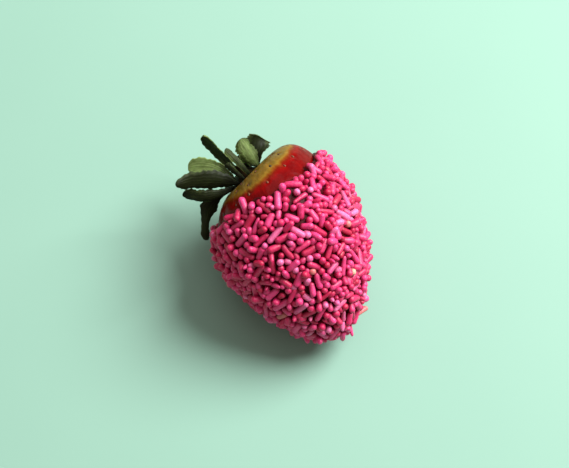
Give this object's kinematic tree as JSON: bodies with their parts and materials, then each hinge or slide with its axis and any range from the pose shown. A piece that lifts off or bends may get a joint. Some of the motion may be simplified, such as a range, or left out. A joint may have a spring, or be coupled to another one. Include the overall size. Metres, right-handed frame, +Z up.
{
  "type": "chocolate coated strawberry",
  "caption": "Whole ripe strawberry lying on its side, dipped in dark chocolate and covered in pink rod sprinkles, with a bare red shoulder and a crown of green leaves.",
  "frame": {"origin": "on the surface that the berry rests on, under the middle of its bounding box", "axes": "+X along the berry from the leaf crown towards the tip, +Z up"},
  "size_m": [0.0588, 0.0378, 0.0345],
  "materials": {
    "berry_skin": "glossy ripe strawberry skin, red running to cream at the leaves",
    "pink_sprinkle": "waxy pink sugar",
    "chocolate": "satin dark chocolate",
    "stem": "dry brown-green stalk",
    "leaf": "matt olive green leaf"
  },
  "bodies": {
    "root": {"fruit": "berry_skin", "sprinkled_coat": "pink_sprinkle", "crown_disc": "stem", "leaf_01": "leaf", "leaf_02": "leaf", "leaf_03": "leaf", "leaf_04": "leaf", "leaf_05": "leaf", "leaf_06": "leaf", "leaf_07": "leaf", "leaf_08": "leaf", "leaf_09": "leaf", "leaf_10": "leaf", "leaf_11": "leaf"}
  },
  "joints": []
}
